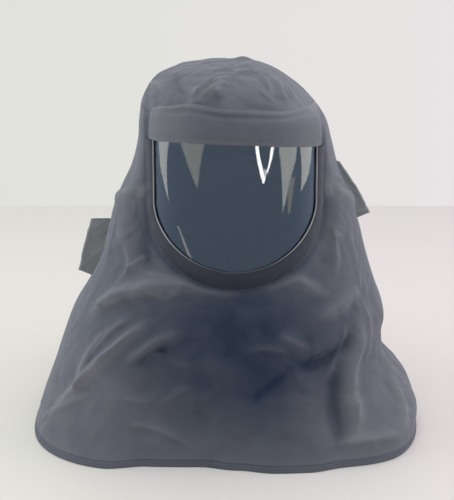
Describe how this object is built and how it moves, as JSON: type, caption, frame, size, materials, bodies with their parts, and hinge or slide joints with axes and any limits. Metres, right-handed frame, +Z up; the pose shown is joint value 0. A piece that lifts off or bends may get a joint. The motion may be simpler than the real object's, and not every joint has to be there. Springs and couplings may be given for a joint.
{
  "type": "arc flash hood",
  "caption": "Cloth protective hood with a bowed clear face window, a raised brow band, a bound window rim, a wide cape over the shoulders and folded side straps.",
  "frame": {"origin": "inside of the crown, where the top of the wearer's head touches the cloth", "axes": "+Z up, the window faces -Y, +X is on the right of someone who looks at the window"},
  "size_m": [0.6161, 0.4616, 0.5731],
  "materials": {
    "hood_cloth": "matte navy grey flame-resistant twill",
    "back_cloth": "matte navy grey flame-resistant twill",
    "brow_cloth": "matte grey twill over a stiff band",
    "rim_cloth": "matte dark navy binding",
    "strap_cloth": "matte olive grey webbing",
    "window_plastic": "clear plastic with a faint green grey tint"
  },
  "bodies": {
    "root": {"crown_panel": "hood_cloth", "front_panel": "hood_cloth", "back_panel": "back_cloth", "hem_binding_front": "hood_cloth", "hem_binding_back": "back_cloth", "face_window": "window_plastic", "window_binding": "rim_cloth", "brow_band": "brow_cloth", "side_strap_left": "strap_cloth", "side_strap_right": "strap_cloth"}
  },
  "joints": []
}
